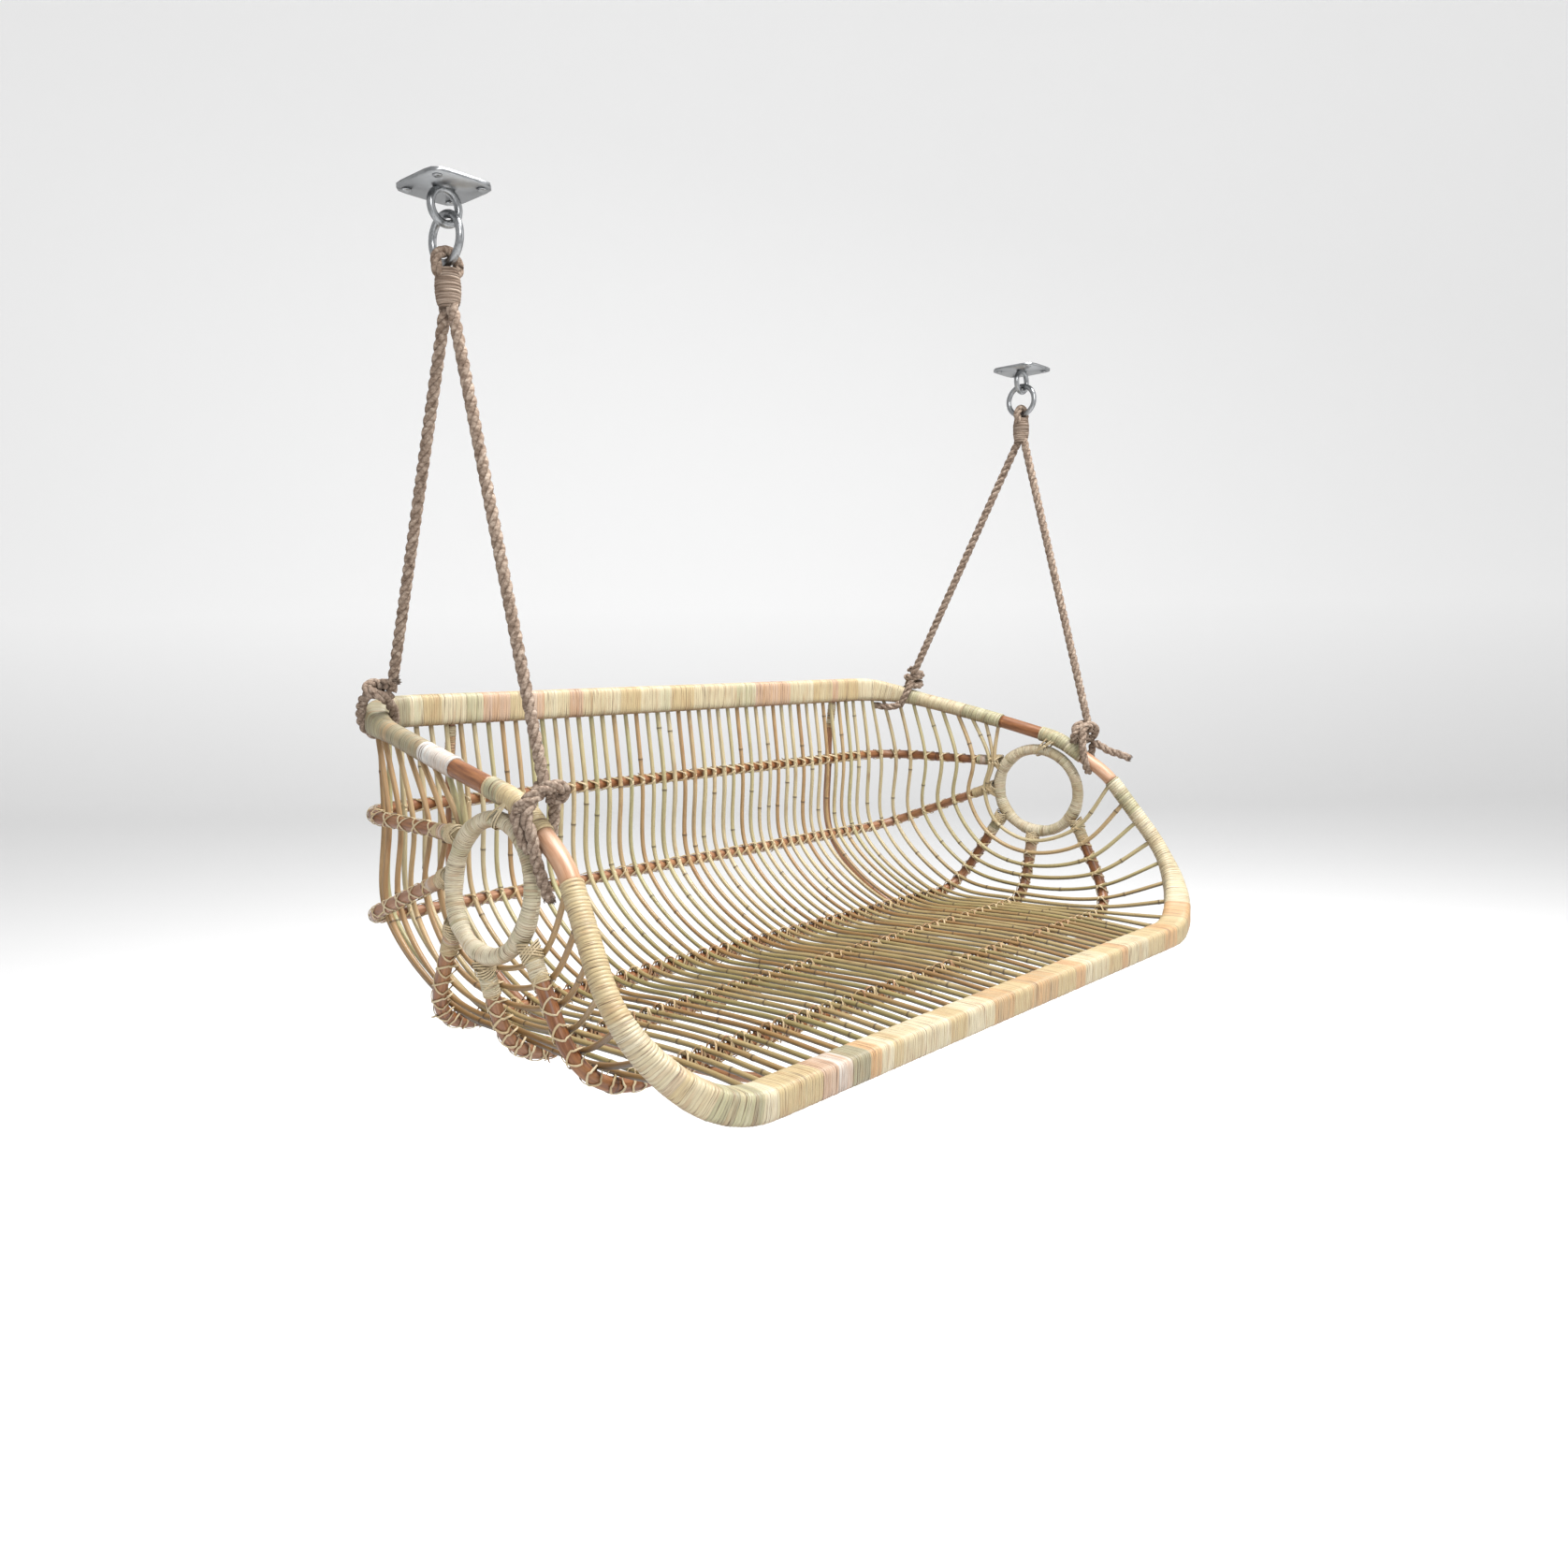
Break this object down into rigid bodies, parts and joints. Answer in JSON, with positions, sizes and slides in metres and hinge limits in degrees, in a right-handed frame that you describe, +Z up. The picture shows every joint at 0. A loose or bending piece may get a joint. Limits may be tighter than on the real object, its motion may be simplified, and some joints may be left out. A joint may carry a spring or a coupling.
{
  "type": "hanging bench swing",
  "caption": "Wide hanging bench of curved cane poles and close spindles, hung by rope pairs from ceiling eyes; it swings and sways.",
  "frame": {"origin": "on the ceiling plane, midway between the top faces of the two ceiling eye plates", "axes": "+Z up; +X to the sitter's left along the bench's length; -Y is the bench's open front"},
  "size_m": [1.4788, 0.7447, 1.1117],
  "materials": {
    "peel_wrapped_pole": "satin",
    "bare_pole": "satin",
    "spindle_cane": "satin",
    "hemp_rope": "matte",
    "steel": "satin"
  },
  "bodies": {
    "ceiling_fittings": {"left_ceiling_eye_plate": "steel", "right_ceiling_eye_plate": "steel"},
    "hang_rings": {"left_hang_ring": "steel", "right_hang_ring": "steel"},
    "left_ropes": {"left_top_loop": "hemp_rope", "left_back_rope": "hemp_rope", "left_front_rope": "hemp_rope"},
    "seat": {"back_rail": "peel_wrapped_pole", "front_rail": "peel_wrapped_pole", "left_arm_pole": "peel_wrapped_pole", "left_front_pole": "peel_wrapped_pole", "left_side_ring": "peel_wrapped_pole", "left_back_strut": "bare_pole", "left_spindle_01": "spindle_cane", "left_spindle_03": "spindle_cane", "left_spindle_05": "spindle_cane", "left_spindle_07": "spindle_cane", "left_spindle_09": "spindle_cane", "left_spindle_11": "spindle_cane", "left_spindle_13": "spindle_cane", "left_spindle_15": "spindle_cane", "left_spindle_17": "spindle_cane", "left_spindle_19": "spindle_cane", "left_spindle_21": "spindle_cane", "left_spindle_23": "spindle_cane", "left_spindle_25": "spindle_cane", "left_spindle_27": "spindle_cane", "left_spindle_29": "spindle_cane", "right_arm_pole": "peel_wrapped_pole", "right_front_pole": "peel_wrapped_pole", "right_side_ring": "peel_wrapped_pole", "right_back_strut": "bare_pole", "right_spindle_01": "spindle_cane", "right_spindle_03": "spindle_cane", "right_spindle_05": "spindle_cane", "right_spindle_07": "spindle_cane", "right_spindle_09": "spindle_cane", "right_spindle_11": "spindle_cane", "right_spindle_13": "spindle_cane", "right_spindle_15": "spindle_cane", "right_spindle_17": "spindle_cane", "right_spindle_19": "spindle_cane", "right_spindle_21": "spindle_cane", "right_spindle_23": "spindle_cane", "right_spindle_25": "spindle_cane", "right_spindle_27": "spindle_cane", "right_spindle_29": "spindle_cane", "upper_back_rib": "bare_pole", "lower_back_rib": "bare_pole", "rear_seat_rib": "bare_pole", "middle_seat_rib": "bare_pole", "front_seat_rib": "bare_pole", "left_back_knot": "hemp_rope", "left_front_knot": "hemp_rope", "right_back_knot": "hemp_rope", "right_front_knot": "hemp_rope"},
    "right_ropes": {"right_top_loop": "hemp_rope", "right_back_rope": "hemp_rope", "right_front_rope": "hemp_rope"}
  },
  "joints": [
    {"name": "swing", "type": "hinge", "parent": "ceiling_fittings", "child": "hang_rings", "pos_m": [0, 0, -0.046], "axis": [1, 0, 0], "range_deg": [-25, 25]},
    {"name": "left_sway", "type": "hinge", "parent": "hang_rings", "child": "left_ropes", "pos_m": [-0.694, 0, -0.0908], "axis": [0, 0.9554, 0.2953], "range_deg": [-6, 6]},
    {"name": "seat_level", "type": "hinge", "parent": "left_ropes", "child": "seat", "pos_m": [-0.694, 0.03392, -0.66025], "axis": [0, 0.9554, 0.2953], "range_deg": [-6, 6]},
    {"name": "right_sway", "type": "hinge", "parent": "seat", "child": "right_ropes", "pos_m": [0.694, 0.03392, -0.66025], "axis": [0, 0.9554, 0.2953], "range_deg": [-6, 6]}
  ],
  "couplings": [
    {"joint": "seat_level", "follows": "left_sway", "ratio": -1},
    {"joint": "right_sway", "follows": "left_sway", "ratio": 1}
  ]
}
